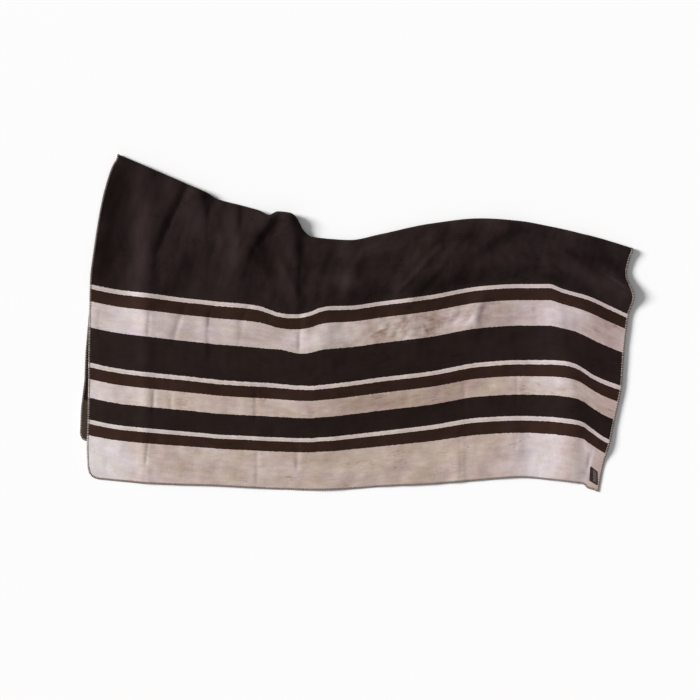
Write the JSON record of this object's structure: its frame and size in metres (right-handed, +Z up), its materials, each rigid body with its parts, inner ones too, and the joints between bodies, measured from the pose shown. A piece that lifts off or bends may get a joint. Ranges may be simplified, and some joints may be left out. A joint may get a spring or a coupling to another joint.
{
  "type": "folded fleece blanket",
  "caption": "Heavy striped fleece blanket, folded once along its back and laid down, with soft folds, an overcast edge and a plain corner patch.",
  "frame": {"origin": "on the ground under the middle of the folded blanket's box", "axes": "+X along the stripes, to the end with the patch; +Y from the hem to the fold; +Z up"},
  "size_m": [2.1001, 1.281, 0.046],
  "materials": {
    "fleece": "matt brushed pile, near black with brown and pale stripes",
    "patch_leather": "plain dark leather"
  },
  "bodies": {
    "root": {"blanket": "fleece", "corner_patch": "patch_leather"}
  },
  "joints": []
}
